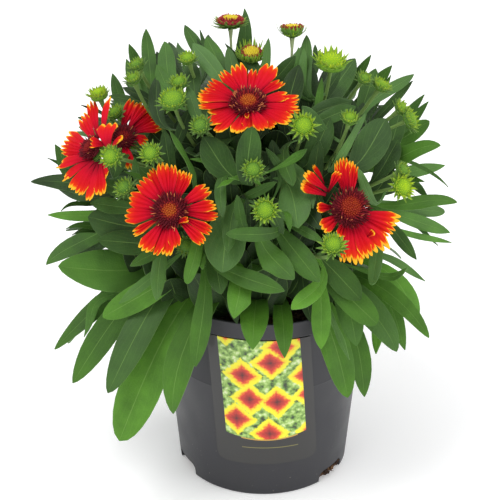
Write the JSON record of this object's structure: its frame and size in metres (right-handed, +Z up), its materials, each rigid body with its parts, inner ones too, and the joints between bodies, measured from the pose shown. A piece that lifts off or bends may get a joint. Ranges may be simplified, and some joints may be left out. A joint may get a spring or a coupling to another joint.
{
  "type": "blanket flower plant",
  "caption": "Bushy blanket flower in a round nursery pot: red and orange daisy heads, spiky buds and long green leaves over potting soil, with a label card on the pot's front.",
  "frame": {"origin": "centre of the pot's underside, on the surface that it stands on", "axes": "+Z up along the pot's axis, -Y towards the front with the label card, +X to the right seen from the front"},
  "size_m": [0.3056, 0.2935, 0.3564],
  "materials": {
    "pot": "matte black with a soft grey sheen",
    "soil": "damp bark and peat crumbs",
    "crown": "rough, olive brown",
    "card": "satin printed card",
    "stem": "matte, finely hairy",
    "leaf": "satin green with a pale midrib",
    "rays": "matte scarlet with orange and yellow tips",
    "disc": "rough, maroon with golden florets",
    "opening_disc": "rough, yellow with dark red florets",
    "bud": "finely hairy, yellow green"
  },
  "bodies": {
    "root": {"bud_below_far_left": "bud", "bud_below_left": "bud", "bud_below_right": "bud", "bud_far_left": "bud", "bud_far_right": "bud", "bud_front": "bud", "bud_left": "bud", "bud_low_right": "bud", "bud_middle": "bud", "bud_right": "bud", "bud_top_far_left": "bud", "bud_top_left": "bud", "bud_top_right": "bud", "bud_upper_left": "bud", "bud_upper_right": "bud", "crown": "crown", "flower_behind_left_disc": "disc", "flower_behind_left_rays": "rays", "flower_behind_left_stem": "stem", "flower_far_left_disc": "disc", "flower_far_left_rays": "rays", "flower_far_left_stem": "stem", "flower_left_disc": "disc", "flower_left_rays": "rays", "flower_left_stem": "stem", "flower_right_disc": "disc", "flower_right_rays": "rays", "flower_right_stem": "stem", "flower_top_disc": "disc", "flower_top_rays": "rays", "flower_top_stem": "stem", "label_card": "card", "leaf_back": "leaf", "leaf_back_left": "leaf", "leaf_back_right": "leaf", "leaf_back_upper": "leaf", "leaf_broad_left": "leaf", "leaf_far_left": "leaf", "leaf_far_left_upper": "leaf", "leaf_far_right": "leaf", "leaf_front_low": "leaf", "leaf_front_right_low": "leaf", "leaf_hanging_front_left": "leaf", "leaf_hanging_left": "leaf", "leaf_outer_left": "leaf", "leaf_outer_right": "leaf", "leaf_right_back": "leaf", "leaf_right_low": "leaf", "leaf_slanting_left": "leaf", "leaf_slanting_right": "leaf", "leaf_top_back": "leaf", "leaf_upper_right": "leaf", "opening_head_front_disc": "opening_disc", "opening_head_front_stem": "stem", "opening_head_right_disc": "opening_disc", "opening_head_right_stem": "stem", "opening_head_tall_disc": "opening_disc", "opening_head_tall_stem": "stem", "pot": "pot", "potting_soil": "soil"}
  },
  "joints": []
}
